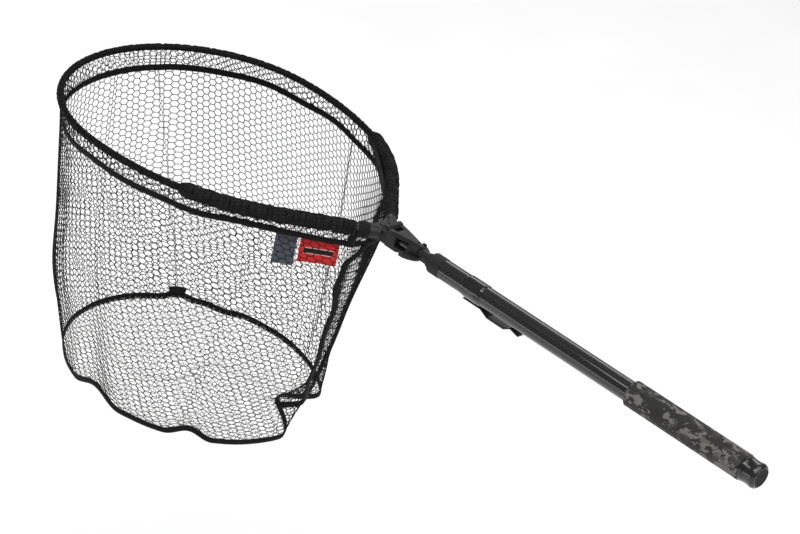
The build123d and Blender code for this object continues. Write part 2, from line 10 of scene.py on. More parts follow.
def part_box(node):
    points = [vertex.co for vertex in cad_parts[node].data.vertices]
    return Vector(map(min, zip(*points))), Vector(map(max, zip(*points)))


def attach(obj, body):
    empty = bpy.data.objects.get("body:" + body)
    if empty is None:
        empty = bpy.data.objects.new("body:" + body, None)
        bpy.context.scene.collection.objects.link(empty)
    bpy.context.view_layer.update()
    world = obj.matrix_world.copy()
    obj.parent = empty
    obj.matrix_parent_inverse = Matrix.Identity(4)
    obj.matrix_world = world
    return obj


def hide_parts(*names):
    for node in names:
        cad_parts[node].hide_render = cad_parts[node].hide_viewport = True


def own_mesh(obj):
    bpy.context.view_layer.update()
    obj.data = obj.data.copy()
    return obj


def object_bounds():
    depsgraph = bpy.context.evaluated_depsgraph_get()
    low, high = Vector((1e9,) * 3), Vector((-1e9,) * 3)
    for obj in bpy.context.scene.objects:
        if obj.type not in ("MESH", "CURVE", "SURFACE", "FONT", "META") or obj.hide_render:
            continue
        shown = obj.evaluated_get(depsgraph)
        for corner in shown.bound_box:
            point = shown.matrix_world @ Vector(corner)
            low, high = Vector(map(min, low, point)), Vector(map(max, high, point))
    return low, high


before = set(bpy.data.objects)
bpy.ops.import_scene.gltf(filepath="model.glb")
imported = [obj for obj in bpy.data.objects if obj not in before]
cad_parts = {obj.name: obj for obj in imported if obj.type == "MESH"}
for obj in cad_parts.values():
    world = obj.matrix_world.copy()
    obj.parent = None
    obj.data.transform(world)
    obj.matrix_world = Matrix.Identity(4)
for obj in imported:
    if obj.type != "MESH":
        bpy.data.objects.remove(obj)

cad_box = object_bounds()

# ======== camera, light and floor
CAMERA_TARGET = Vector((-0.4887, 0.0191, -0.0467))
CAMERA_DISTANCE = 3.7937
CAMERA_AZIMUTH = radians(38.93)
CAMERA_ELEVATION = radians(28.12)
CAMERA_ROLL = radians(12.78)
CAMERA_LENS_MM = 135.0
CAMERA_SENSOR_MM = 36.0
CLIP_END = 50.0
WORLD_STRENGTH = 0.32
SKY_POWER = 2.3
SKY_SPREAD, SKY_AZIMUTH, SKY_ELEVATION = radians(75.0), radians(60.0), radians(66.0)
# azimuth and elevation in degrees, distance, size and power
AREA_LIGHTS = (("softbox", 12, 58, 2.2, (2.4, 0.5), 16), ("fill", 95, 30, 2.6, (1.6, 1.6), 8),
               ("rim", 215, 38, 2.6, (2.0, 0.8), 12), ("strip", -35, -10, 2.4, (2.6, 0.12), 5))
FLOOR_HALF, FLOOR_DROP = 14.0, 0.5  # half the floor's side, and how far it lies below the bag


def view_axes(azimuth, elevation, roll=0.0):
    """Right, up and backward axes of a view from that side."""
    back = Vector((sin(azimuth) * cos(elevation), -cos(azimuth) * cos(elevation), sin(elevation)))
    right = Vector((cos(azimuth), sin(azimuth), 0.0))
    up = back.cross(right)
    return right * cos(roll) + up * sin(roll), up * cos(roll) - right * sin(roll), back


def add_object(name, data, turn=None):
    """Object in the scene, placed by a matrix."""
    made = bpy.data.objects.new(name, data)
    bpy.context.scene.collection.objects.link(made)
    if turn is not None:
        made.matrix_world = turn
    return made


def looking(axes, target, distance):
    """Matrix of an object that looks at a point from a distance, along a view's axes."""
    return Matrix.Translation(target + axes[2] * distance) @ Matrix(axes).transposed().to_4x4()


def place_camera():
    data = bpy.data.cameras.new("camera")
    data.lens = CAMERA_LENS_MM
    data.sensor_width = CAMERA_SENSOR_MM
    data.clip_end = CLIP_END
    axes = view_axes(CAMERA_AZIMUTH, CAMERA_ELEVATION, CAMERA_ROLL)
    bpy.context.scene.camera = add_object("camera", data, looking(axes, CAMERA_TARGET, CAMERA_DISTANCE))


def add_area_light(name, azimuth, elevation, distance, size, power):
    """Soft box that looks at the middle of the object."""
    data = bpy.data.lights.new(name, "AREA")
    data.shape = "RECTANGLE"
    data.size, data.size_y = size
    data.energy = power
    axes = view_axes(radians(azimuth), radians(elevation))
    add_object(name, data, looking(axes, CAMERA_TARGET, distance))


def light_studio():
    world = bpy.data.worlds.new("studio")
    bpy.context.scene.world = world
    world.use_nodes = True
    backdrop = world.node_tree.nodes["Background"].inputs
    backdrop["Color"].default_value = (1.0, 1.0, 1.0, 1.0)
    backdrop["Strength"].default_value = WORLD_STRENGTH
    sky = bpy.data.lights.new("sky", "SUN")
    sky.energy = SKY_POWER
    sky.angle = SKY_SPREAD
    add_object("sky", sky, Matrix(view_axes(SKY_AZIMUTH, SKY_ELEVATION)).transposed().to_4x4())
    for lamp in AREA_LIGHTS:
        add_area_light(*lamp)
    bpy.context.scene.view_settings.view_transform = "Standard"


# ======== materials
class Shader:
    """Small helper around one procedural material."""

    def __init__(self, name):
        self.material = bpy.data.materials.new(name)
        self.material.use_nodes = True
        self.tree = self.material.node_tree
        self.surface = self.tree.nodes["Principled BSDF"]

    def node(self, kind, **settings):
        made = self.tree.nodes.new(kind)
        for key, value in settings.items():
            setattr(made, key, value)
        return made

    def link(self, source, target):
        self.tree.links.new(source, target)

    def coordinates(self, scale=(1.0, 1.0, 1.0), shift=(0.0, 0.0, 0.0)):
        """The object's own coordinates, scaled and shifted."""
        mapping = self.node("ShaderNodeMapping")
        mapping.inputs["Scale"].default_value = scale
        mapping.inputs["Location"].default_value = shift
        self.link(self.node("ShaderNodeTexCoord").outputs["Object"], mapping.inputs["Vector"])
        return mapping.outputs["Vector"]

    def noise(self, vector, scale, detail=3.0, roughness=0.55, distortion=0.0):
        made = self.node("ShaderNodeTexNoise")
        for key, value in (("Scale", scale), ("Detail", detail), ("Roughness", roughness),
                           ("Distortion", distortion)):
            made.inputs[key].default_value = value
        self.link(vector, made.inputs["Vector"])
        return made.outputs["Fac"]

    def cells(self, vector, scale):
        """Distance from the middle of each of many small cells."""
        made = self.node("ShaderNodeTexVoronoi")
        made.inputs["Scale"].default_value = scale
        self.link(vector, made.inputs["Vector"])
        return made.outputs["Distance"]

    def metres(self):
        """Along and across of the piece's UVs, which are in metres."""
        split = self.node("ShaderNodeSeparateXYZ")
        self.link(self.node("ShaderNodeUVMap", uv_map="metres").outputs[0], split.inputs[0])
        return split.outputs[0], split.outputs[1]

    def ramp(self, value, stops, interpolation="LINEAR"):
        """Colour ramp with stops of (position, colour)."""
        made = self.node("ShaderNodeValToRGB")
        made.color_ramp.interpolation = interpolation
        elements = made.color_ramp.elements
        while len(elements) < len(stops):
            elements.new(0.5)
        for element, (position, colour) in zip(elements, stops):
            element.position = position
            element.color = (*colour, 1.0)
        self.link(value, made.inputs["Fac"])
        return made.outputs["Color"]

    def math(self, operation, first, second=None):
        made = self.node("ShaderNodeMath", operation=operation)
        for socket, value in zip(made.inputs, (first, second)):
            if value is None:
                continue
            if isinstance(value, (int, float)):
                socket.default_value = value
            else:
                self.link(value, socket)
        return made.outputs[0]

    def times(self, first, second):
        return self.math("MULTIPLY", first, second)

    def plus(self, first, second):
        return self.math("ADD", first, second)

    def minus(self, first, second):
        return self.math("SUBTRACT", first, second)

    def mix(self, factor, first, second):
        """Mix of two colours, given as links or as plain colours."""
        made = self.node("ShaderNodeMix", data_type="RGBA")
        for socket, value in ((made.inputs[0], factor), (made.inputs[6], first), (made.inputs[7], second)):
            if isinstance(value, (int, float)):
                socket.default_value = value
            elif isinstance(value, tuple):
                socket.default_value = (*value, 1.0)
            else:
                self.link(value, socket)
        return made.outputs[2]

    def colour(self, link):
        self.link(link, self.surface.inputs["Base Color"])

    def roughness(self, value, low, high):
        """Roughness that follows a 0 to 1 value between low and high."""
        made = self.node("ShaderNodeMapRange")
        made.inputs["To Min"].default_value = low
        made.inputs["To Max"].default_value = high
        self.link(value, made.inputs["Value"])
        self.link(made.outputs["Result"], self.surface.inputs["Roughness"])

    def bump(self, height, distance, strength=1.0):
        """Bump of that height, in metres, on top of any bump made before."""
        made = self.node("ShaderNodeBump")
        made.inputs["Distance"].default_value = distance
        made.inputs["Strength"].default_value = strength
        self.link(height, made.inputs["Height"])
        earlier = self.surface.inputs["Normal"].links
        if earlier:
            self.link(earlier[0].from_socket, made.inputs["Normal"])
        self.link(made.outputs["Normal"], self.surface.inputs["Normal"])

    def set(self, **values):
        """Constants on the shader's own sockets, spaces in their names written as underscores."""
        for key, value in values.items():
            self.surface.inputs[key.replace("_", " ")].default_value = value


def moulded_plastic(name, dark, light, low, high, grain=900.0, depth=0.00008, coat=0.0):
    """Injection-moulded plastic: faint colour drift, spark-eroded grain, handling scuffs."""
    s = Shader(name)
    where = s.coordinates()
    drift = s.noise(where, 60.0, 4.0)
    scuffs = s.noise(s.coordinates(scale=(1.0, 6.0, 6.0)), 240.0, 5.0, 0.7)
    s.colour(s.ramp(drift, ((0.3, dark), (0.75, light))))
    s.roughness(s.times(s.plus(drift, scuffs), 0.5), low, high)
    s.bump(s.noise(where, grain, 2.0), depth)
    s.set(Coat_Weight=coat, Coat_Roughness=0.08, Specular_IOR_Level=0.25)
    return s.material


TOW = 0.0016  # width of a carbon tow
FILAMENTS = 12.0 * pi  # ripples on each tow


def carbon_tube(name, radius):
    """Woven carbon under lacquer: two-over-two twill laid round the tube's axis."""
    s = Shader(name)
    split = s.node("ShaderNodeSeparateXYZ")
    s.link(s.coordinates(), split.inputs[0])
    x, y, z = split.outputs
    around = s.times(s.math("ARCTAN2", z, y), radius / TOW)
    along = s.times(x, 1.0 / TOW)
    step = s.plus(s.math("FLOOR", around), s.math("FLOOR", along))
    over = s.math("LESS_THAN", s.math("FLOORED_MODULO", step, 4.0), 2.0)
    warp = s.math("SINE", s.times(around, FILAMENTS))
    weft = s.math("SINE", s.times(along, FILAMENTS))
    strands = s.plus(s.times(over, warp),
                     s.times(s.minus(1.0, over), weft))
    tow_colour = s.mix(over, (0.002, 0.002, 0.0022), (0.008, 0.008, 0.0085))
    fleck = s.noise(s.coordinates(), 1500.0, 2.0)
    s.colour(s.mix(s.times(fleck, 0.25), tow_colour, (0.014, 0.014, 0.015)))
    s.roughness(over, 0.24, 0.34)
    s.bump(strands, 0.00002, 0.5)
    s.set(Coat_Weight=1.0, Coat_Roughness=0.04, Specular_IOR_Level=0.12)
    return s.material


def camouflage_foam(name):
    """Closed-cell foam grip with a printed blotch pattern in black, charcoal and stone."""
    s = Shader(name)
    stretch = (1.0, 1.35, 1.35)
    blotch = s.noise(s.coordinates(stretch), 42.0, 5.0, 0.62, 0.6)
    base = s.ramp(blotch, ((0.0, (0.006, 0.006, 0.006)), (0.5, (0.03, 0.028, 0.026)),
                           (0.58, (0.085, 0.08, 0.073))), "CONSTANT")
    stone = s.math("GREATER_THAN", s.noise(s.coordinates((1.0, 1.3, 1.3)), 63.0, 5.0, 0.6, 0.4), 0.53)
    patched = s.mix(stone, base, (0.135, 0.127, 0.115))
    where = s.coordinates(stretch, (0.31, 0.17, 0.05))
    ink = s.math("GREATER_THAN", s.noise(where, 55.0, 4.0, 0.55, 0.5), 0.55)
    fibres = s.noise(s.coordinates(), 900.0, 3.0)
    printed = s.mix(ink, patched, (0.008, 0.008, 0.008))
    s.colour(s.mix(s.times(fibres, 0.25), printed, (0.05, 0.048, 0.044)))
    s.roughness(fibres, 0.62, 0.86)
    s.bump(s.cells(s.coordinates(), 1300.0), 0.00015, 0.5)
    s.bump(s.noise(s.coordinates(), 160.0, 3.0), 0.0003, 0.4)
    s.set(Specular_IOR_Level=0.32, Sheen_Weight=0.08)
    return s.material


def brushed_metal(name, colour, low, high):
    """Turned or drawn metal: fine lines, light stains and a trace of wear."""
    s = Shader(name)
    lines = s.noise(s.coordinates(scale=(400.0, 60.0, 60.0)), 12.0, 4.0, 0.6)
    stain = s.noise(s.coordinates(), 90.0, 3.0)
    dark = tuple(c * 0.72 for c in colour)
    s.colour(s.mix(s.times(stain, 0.6), colour, dark))
    s.roughness(lines, low, high)
    s.bump(lines, 0.00002, 0.4)
    s.set(Metallic=1.0)
    return s.material


def rubber_net(name, deep, dusty):
    """Soft rubber-coated cord of the net: satin with dusty highs and a lumpy coat."""
    s = Shader(name)
    where = s.coordinates()
    drift = s.noise(where, 35.0, 4.0)
    lumps = s.noise(where, 1100.0, 3.0)
    s.colour(s.mix(s.times(lumps, drift), deep, dusty))
    s.roughness(lumps, 0.42, 0.72)
    s.bump(lumps, 0.00018, 0.7)
    s.set(Specular_IOR_Level=0.14)
    return s.material


RIB = 0.0011  # distance between the tape's ribs
STITCH = 0.0028
STITCH_SHARE, STITCH_HALF = 0.72, 0.00025  # share of a stitch that shows, and half the thread's width


def woven_tape(name, dark, light, rows, thread):
    """Ribbed binding tape on UVs in metres: u along, v across. Rows of stitches lie at those v."""
    s = Shader(name)
    along, across = s.metres()
    ribs = s.math("SINE", s.times(along, 2.0 * pi / RIB))
    picks = s.math("SINE", s.times(across, 2.0 * pi / (RIB * 0.6)))
    weave = s.plus(s.times(s.times(ribs, picks), 0.25), 0.5)
    fuzz = s.noise(s.coordinates(), 700.0, 4.0)
    cloth = s.mix(s.times(s.plus(weave, fuzz), 0.5), dark, light)
    beat = s.math("FLOORED_MODULO", s.math("DIVIDE", along, STITCH), 1.0)
    away = [s.math("ABSOLUTE", s.minus(across, row)) for row in rows]
    near = [s.math("LESS_THAN", gap, STITCH_HALF) for gap in away]
    mask = s.times(s.math("LESS_THAN", beat, STITCH_SHARE), s.math("MAXIMUM", *near))
    height = s.plus(s.times(weave, 0.7), s.times(fuzz, 0.3))
    s.colour(s.mix(mask, cloth, thread))
    s.roughness(fuzz, 0.72, 0.95)
    s.bump(s.plus(height, s.times(mask, 0.9)), 0.0002, 0.8)
    s.set(Sheen_Weight=0.04, Sheen_Roughness=0.5, Specular_IOR_Level=0.1)
    return s.material


def float_foam(name):
    """Skinned closed-cell foam of the floats."""
    s = Shader(name)
    where = s.coordinates()
    drift = s.noise(where, 70.0, 4.0)
    s.colour(s.ramp(drift, ((0.3, (0.005, 0.005, 0.0055)), (0.7, (0.014, 0.014, 0.015)))))
    s.roughness(drift, 0.6, 0.85)
    s.bump(s.cells(where, 650.0), 0.00025, 0.6)
    s.set(Specular_IOR_Level=0.15)
    return s.material


def floor_material():
    s = Shader("studio_floor")
    drift = s.noise(s.coordinates(), 3.0, 2.0)
    s.colour(s.ramp(drift, ((0.3, (0.88, 0.88, 0.88)), (0.7, (0.91, 0.91, 0.91)))))
    s.set(Roughness=0.9, Specular_IOR_Level=0.1)
    return s.material


NET = rubber_net("net_rubber", (0.002, 0.002, 0.0022), (0.009, 0.009, 0.0095))
# Bottom panel's net: its pale grey-beige colour is painted light, standing in for the bright overhead light
# on the upward-facing panel seen against the pale floor.
BASE_NET_PAINTED_LIGHT = rubber_net("net_base_painted_light", (0.20, 0.19, 0.175), (0.36, 0.345, 0.32))
TAPE = woven_tape("binding_tape", (0.0015, 0.0015, 0.0016), (0.008, 0.008, 0.0085), (0.0014, 0.0076),
                  (0.018, 0.018, 0.018))
FOAM = float_foam("float_skin")


# ======== meshes
def make_piece(name, points, faces, material, body="head", uv=None):
    """Smooth mesh from points in metres and faces, riding on a body. uv has a pair for each face's corner."""
    mesh = bpy.data.meshes.new(name)
    mesh.from_pydata(np.asarray(points).tolist(), [], [tuple(face) for face in faces])
    if uv is not None:
        mesh.uv_layers.new(name="metres").data.foreach_set("uv", np.array(uv, float).ravel())
    mesh.materials.append(material)
    mesh.polygons.foreach_set("use_smooth", [True] * len(mesh.polygons))
    mesh.update()
    piece = add_object(name, mesh)
    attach(piece, body)
    return piece


def tube_faces(rings, turns, closed, forward=True):
    """Quads that join rings of points into a loop, or into a tube with a flat cap at each end."""
    faces = []
    for k in range(rings if closed else rings - 1):
        here, there = k * turns, (k + 1) % rings * turns
        for m in range(turns):
            n = (m + 1) % turns
            faces.append((here + m, here + n, there + n, there + m))
    if not closed:
        faces += [tuple(reversed(range(turns))), tuple(range((rings - 1) * turns, rings * turns))]
    return faces if forward else [face[::-1] for face in faces]


def unit(vectors):
    """Vectors along the last axis, made one long."""
    return vectors / np.maximum(np.linalg.norm(vectors, axis=-1, keepdims=True), 1e-12)


COLUMN_STEP = 1.5  # distance between columns of hexagons, in hexagon sides
ROW_STEP = sqrt(3.0)
MOST_FILLED = 0.8  # share of a crowded cell that its strands may cover
STRAND_HALF = 0.0006  # half a strand's thickness


def hex_net(name, place, columns, rows, strand, half_thick=STRAND_HALF, material=NET, close_columns=False,
            close_rows=False, keep=None):
    """Piece of hexagonal net with lens-shaped strands, a closed mesh.

    place(s, t) gives points for arrays of positions counted in columns and rows. strand is a strand's width
    in metres, the same in wide and in crowded cells. keep(s, t) says which cells are made, by their middles.
    """
    i, j = (a.ravel() for a in np.meshgrid(np.arange(columns), np.arange(rows), indexing="ij"))
    middle = np.stack([i * 3, 2 * j + i % 2 + 1], 1)  # in half sides and half rows
    if keep is not None:
        chosen = keep(middle[:, 0] / 3.0, middle[:, 1] / 2.0)
        middle = middle[chosen]
    corner_steps = np.array([(2, 0), (1, 1), (-1, 1), (-2, 0), (-1, -1), (1, -1)])
    corners = middle[:, None, :] + corner_steps[None]
    period = (3 * columns if close_columns else 10**7, 2 * rows if close_rows else 10**7)
    wrapped = np.stack([corners[..., 0] % period[0], corners[..., 1] % period[1]], -1)
    keys = (wrapped[..., 0] + 4) * 10**7 + wrapped[..., 1] + 4
    unique, first, index = np.unique(keys.ravel(), return_index=True, return_inverse=True)
    index = index.reshape(keys.shape)
    lattice = corners.reshape(-1, 2)[first]

    def to_place(points):
        return points[:, 0] / 3.0, points[:, 1] / 2.0

    ridge = place(*to_place(lattice))
    normal = surface_normals(place, *to_place(lattice))
    reach = np.linalg.norm(ridge[index] - place(*to_place(middle))[:, None, :], axis=-1)
    filled = np.clip(strand / (2.0 * cos(pi / 6) * np.maximum(reach, 1e-6)), 0.0, MOST_FILLED)
    inner = middle[:, None, :] + corner_steps[None] * (1.0 - filled[..., None])
    rim = place(*to_place(inner.reshape(-1, 2)))
    cells, count = len(middle), len(unique)
    points = np.concatenate([rim, ridge + normal * half_thick, ridge - normal * half_thick])
    top = index + 6 * cells
    bottom = top + count
    hole = np.arange(6 * cells).reshape(cells, 6)
    following = np.roll(np.arange(6), -1)
    upper = np.stack([hole, top, top[:, following], hole[:, following]], -1).reshape(-1, 4)
    lower = np.stack([hole[:, following], bottom[:, following], bottom, hole], -1).reshape(-1, 4)
    ends = np.sort(np.stack([index, index[:, following]], -1).reshape(-1, 2), 1)
    edge_keys = ends[:, 0].astype(np.int64) * count + ends[:, 1]
    _, inverse, times = np.unique(edge_keys, return_inverse=True, return_counts=True)
    lone = (times[inverse] == 1).reshape(cells, 6)
    rims = np.stack([top[:, following], top, bottom, bottom[:, following]], -1)[lone]
    return make_piece(name, points, np.concatenate([upper, lower, rims]).tolist(), material)


def surface_normals(place, s, t, reach=0.15):
    """Unit normals of a surface by differences."""
    across = place(s + reach, t) - place(s - reach, t)
    down = place(s, t + reach) - place(s, t - reach)
    return unit(np.cross(across, down))


RIBBON_SECTION = ((-0.5, 0.0), (-0.42, 0.5), (0.0, 0.62), (0.42, 0.5), (0.5, 0.0), (0.42, -0.5), (0.0, -0.62),
                  (-0.42, -0.5))  # across and through the tape, in its width and thickness


def ribbon(name, centre, across, normal, width, thickness, closed):
    """Strip of tape with rounded edges along a line, with UVs in metres."""
    turns, count = len(RIBBON_SECTION), len(centre)
    rims = [centre + across * (a * width) + normal * (b * thickness) for a, b in RIBBON_SECTION]
    points = np.stack(rims, 1).reshape(-1, 3)
    faces = tube_faces(count, turns, closed)
    steps = np.linalg.norm(np.diff(centre, axis=0, append=centre[:1]), axis=1)
    along = np.concatenate([[0.0], np.cumsum(steps)])
    place = [(a + 0.5) * width for a, _ in RIBBON_SECTION]
    uv = []
    for k in range((count if closed else count - 1) * turns):
        row, m = divmod(k, turns)
        low, high = place[m], place[(m + 1) % turns]
        uv += [(along[row], low), (along[row], high), (along[row + 1], high), (along[row + 1], low)]
    for cap in () if closed else faces[-2:]:
        uv += [(along[p // turns], place[p % turns]) for p in cap]
    return make_piece(name, points, faces, TAPE, uv=uv)


# ======== the hoop's line and the bag's surface
HOOP_ARCS = ((0.194, 86.0), (0.385, 20.0), (0.300, 29.5))  # radius and turn of each arc, from the tip
NOSE_Y = 0.038
ARM_STOP_Y = 0.016
HOOP_TIP_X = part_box("hoop_tube")[0].x + 0.0032
LINE_POINTS = 400


def arc_points(start, heading, radius, turn, count):
    """Points after the start of an arc that turns right, all in plan."""
    centre = start + radius * np.array([sin(heading), -cos(heading)])
    return [centre + radius * np.array([-sin(heading - angle), cos(heading - angle)])
            for angle in np.linspace(0, turn, count)[1:]]


def hoop_line(stop_y):
    """Points along half the hoop, from the tip round the +Y side until y = stop_y, and the last heading."""
    heading = pi / 2
    points = [np.array([HOOP_TIP_X, 0.0])]
    for radius, turn in HOOP_ARCS:
        points += arc_points(points[-1], heading, radius, radians(turn), LINE_POINTS)
        heading -= radians(turn)
    here = points[-1]
    straight = (here[1] - stop_y) / -sin(heading)
    direction = np.array([cos(heading), sin(heading)])
    points += [here + direction * step for step in np.linspace(0, straight, LINE_POINTS // 4)[1:]]
    return points, heading


def mouth_line():
    """Points along half the bag's mouth, which leaves the arm and closes round under the head."""
    points, heading = hoop_line(NOSE_Y)
    return points + arc_points(points[-1], heading, NOSE_Y / cos(heading), heading + pi / 2, LINE_POINTS // 4)


def with_lengths(points):
    """A line's points and its lengths up to each of them."""
    points = np.array(points)
    return points, np.concatenate([[0.0], np.cumsum(np.linalg.norm(np.diff(points, axis=0), axis=1))])


OUTLINE, OUTLINE_LENGTHS = with_lengths(mouth_line())
HOOP, HOOP_LENGTHS = with_lengths(hoop_line(ARM_STOP_Y)[0])
HALF_LENGTH = OUTLINE_LENGTHS[-1]


def mouth(u):
    """Points of the hoop's line for u from 0 to 2: 0 under the head, rising round +Y, 1 at the tip."""
    u = np.asarray(u, float) % 2.0
    side = np.where(u <= 1.0, 1.0, -1.0)
    share = np.where(u <= 1.0, 1.0 - u, u - 1.0)
    x = np.interp(share * HALF_LENGTH, OUTLINE_LENGTHS, OUTLINE[:, 0])
    y = np.interp(share * HALF_LENGTH, OUTLINE_LENGTHS, OUTLINE[:, 1])
    return x, y * side


BASE_LOW, BASE_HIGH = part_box("base_band")
BASE_Z = (BASE_LOW.z + BASE_HIGH.z) / 2
BASE_X = (BASE_LOW.x + BASE_HIGH.x) / 2
TAPE_INSET = 0.0012
BASE_HALF = ((BASE_HIGH.x - BASE_LOW.x) / 2 - TAPE_INSET, (BASE_HIGH.y - BASE_LOW.y) / 2 - TAPE_INSET)
BAND_LOW, BAND_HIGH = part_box("upper_band")
BAND_Z = (BAND_LOW.z + BAND_HIGH.z) / 2
BULGE = 0.011
SURFACE_STEP = 0.004  # step in u and depth for slopes by differences
SETTLE_START = 0.80  # depth at which the base's dent starts to draw the wall in
DENT_ANGLE, DENT_HALF, DENT_SHARE = 21.0, 25.0, 0.29  # where the base's rim is pushed in under the head
BASE_WAVES = ((-93.0, 15.0, 0.015), (-47.0, 11.0, 0.012), (142.0, 9.0, 0.006), (121.0, 11.0, -0.004),
              (21.0, 26.0, 0.010))  # angle, half width, height


def hump(angle, middle, half):
    """Smooth bump of height 1 in an angle, all in degrees."""
    away = (angle - middle + 180.0) % 360.0 - 180.0
    return np.where(np.abs(away) < half, np.cos(away / half * pi / 2) ** 2, 0.0)


def base_rim(u):
    """Undented plan point of the bag's lower edge, with its share of the dent and its height."""
    angle = np.asarray(u, float) * pi
    degrees = np.degrees(angle)
    dent = DENT_SHARE * hump(degrees, DENT_ANGLE, DENT_HALF)
    height = sum(size * hump(degrees, middle, half) for middle, half, size in BASE_WAVES)
    return BASE_X + BASE_HALF[0] * np.cos(angle), BASE_HALF[1] * np.sin(angle), dent, BASE_Z + height


CREASES = ((0.905, 0.79, 0.013, 0.0045), (0.62, 0.66, 0.02, 0.003), (0.43, 0.40, 0.016, 0.0035),
           (1.33, 1.30, 0.02, 0.004), (1.62, 1.60, 0.018, 0.004), (1.80, 1.74, 0.022, 0.006),
           (0.20, 0.20, 0.13, 0.017), (1.07, 1.10, 0.02, 0.004))  # u at top and bottom, half width, depth


def folds(u, depth):
    """Outward push of the hanging wall, from its bulge and soft vertical folds."""
    nose = 1.0 - np.cos(np.pi * np.clip(np.abs((u + 1.0) % 2.0 - 1.0) / 0.3, 0.0, 1.0))
    push = BULGE * 0.5 * nose * np.sin(pi * np.clip(depth, 0, 1) ** 1.6)
    swell = np.clip(depth * 1.6, 0, 1) * np.clip((1.02 - depth) * 6.0, 0, 1)
    push += swell * 0.0022 * np.sin(2 * pi * (4.5 * u + 0.35 * np.sin(3.0 * depth)))
    push += swell * 0.0013 * np.sin(2 * pi * (9.5 * u - 0.6 * depth) + 1.3)
    push += swell * 0.0016 * np.sin(2 * pi * (2.0 * depth + 1.5 * u))
    for top, bottom, half, size in CREASES:
        away = (u - (top + (bottom - top) * depth) + 1.0) % 2.0 - 1.0
        push -= size * swell * np.exp(-(away / half) ** 2)
    return push


def bag_surface(u, depth, push=0.0):
    """Points of the bag's wall: depth 0 at the hoop's line and 1 at the lower edge."""
    u, depth = np.broadcast_arrays(np.asarray(u, float), np.asarray(depth, float))
    top_x, top_y = mouth(u)
    base_x, base_y, dent, base_z = base_rim(u)
    settle = np.clip((depth - SETTLE_START) / (1.0 - SETTLE_START), 0.0, 1.0) ** 1.5
    share = 1.0 - dent * settle
    base_x = BASE_X + (base_x - BASE_X) * share
    base_y = base_y * share
    x = top_x + (base_x - top_x) * depth
    y = top_y + (base_y - top_y) * depth
    z = base_z * depth
    ahead, behind = mouth(u + SURFACE_STEP), mouth(u - SURFACE_STEP)
    base_ahead, base_behind = base_rim(u + SURFACE_STEP), base_rim(u - SURFACE_STEP)
    dx = (ahead[0] - behind[0]) * (1 - depth) + (base_ahead[0] - base_behind[0]) * depth
    dy = (ahead[1] - behind[1]) * (1 - depth) + (base_ahead[1] - base_behind[1]) * depth
    size = np.maximum(np.hypot(dx, dy), 1e-9)
    out = folds(u, depth) + push
    return np.stack([x + dy / size * out, y - dx / size * out, z], -1)


# ======== the bag
CELL_HEIGHT = 0.0091
HEX_SIDE = CELL_HEIGHT / ROW_STEP
CELL_WIDTH = 0.0082  # distance between columns of the skirt
COLUMNS = 2 * round(HALF_LENGTH / CELL_WIDTH)  # round the mouth, an even number
ROW_PITCH = (0.0092, 0.0024)  # at the band, and how much less at the lower edge
FAR_WIDTH = (0.0082, 0.0013)  # distance between columns on the +Y half at the band, and how much more below
NEAR_WIDTH = (0.0097, 0.0009)
WIDTH_BLEND = 8.0  # columns over which one width runs into the other
STRAND = 0.00122
WOBBLE = 0.09  # unevenness of the cells, in cells


def unevenness(s, t, scale=1.0):
    """Small smooth drift of the net's cells, the same at every run."""
    ds = 0.6 * np.sin(0.43 * t + 0.9 * np.sin(2 * pi * s / COLUMNS * 7)) + 0.4 * np.sin(1.7 * s + 2.3 * t)
    dt = 0.5 * np.sin(2 * pi * s / COLUMNS * 11 + 0.3 * t) + 0.5 * np.sin(2.1 * t - 1.3 * s)
    return WOBBLE * scale * ds, WOBBLE * scale * dt


BAND_DEPTH = BAND_Z / BASE_Z
MEAN_PITCH = ROW_PITCH[0] - ROW_PITCH[1] / 3
WALL_ROWS = round((BAND_Z - BASE_Z) / MEAN_PITCH)
FAR_COLUMNS = round(HALF_LENGTH / FAR_WIDTH[0]) + 4
NEAR_COLUMNS = round(HALF_LENGTH / NEAR_WIDTH[0]) + 2
BASE_HALF_LENGTH = pi * sqrt((BASE_HALF[0] ** 2 + BASE_HALF[1] ** 2) / 2)
SEAM_ROUTE = ((1.984, 0.080), (1.980, 0.115), (1.963, 0.158), (1.963, 0.219), (1.963, 0.277), (1.980, 0.382),
              (1.979, 0.460), (1.983, 0.537), (1.991, 0.620), (1.992, 0.687), (1.998, 0.750), (2.012, 0.805),
              (2.036, 0.865), (2.062, 0.935), (2.082, 1.000))  # u and depth down the side seam
SEAM_U, SEAM_DEPTH = np.array(SEAM_ROUTE).T
SEAM_OVERLAP = 0.3  # share of a cell's length past the seam that is left after sewing
GATHERS = ((0.905, 0.79, 0.022, 0.93), (0.985, 1.02, 0.02, 0.6), (0.43, 0.40, 0.02, 0.82),
           (1.952, 1.955, 0.018, 0.75), (1.33, 1.28, 0.02, 0.4), (1.62, 1.58, 0.018, 0.35),
           (1.80, 1.72, 0.02, 0.6))  # u at top and bottom, half width, and how closely the cells bunch up


def wall_depth(t):
    """Depth of a row counted down from the band; the rows close up towards the lower edge."""
    share = t / WALL_ROWS
    fallen = (ROW_PITCH[0] * share - ROW_PITCH[1] / 3 * share**3) / MEAN_PITCH
    return BAND_DEPTH + (1.0 - BAND_DEPTH) * fallen


def wall_u(s, depth):
    """Place round the wall of a column, for cells of nearly one size all the way down."""
    half_round = HALF_LENGTH * (1.0 - depth) + BASE_HALF_LENGTH * depth
    far = FAR_WIDTH[0] + FAR_WIDTH[1] * depth**2
    near = NEAR_WIDTH[0] + NEAR_WIDTH[1] * depth
    away = s - FAR_COLUMNS
    blend = WIDTH_BLEND * np.log(np.cosh(np.clip(away / WIDTH_BLEND, -30, 30)))
    return 1.0 + ((near + far) / 2 * away + (near - far) / 2 * blend) / half_round


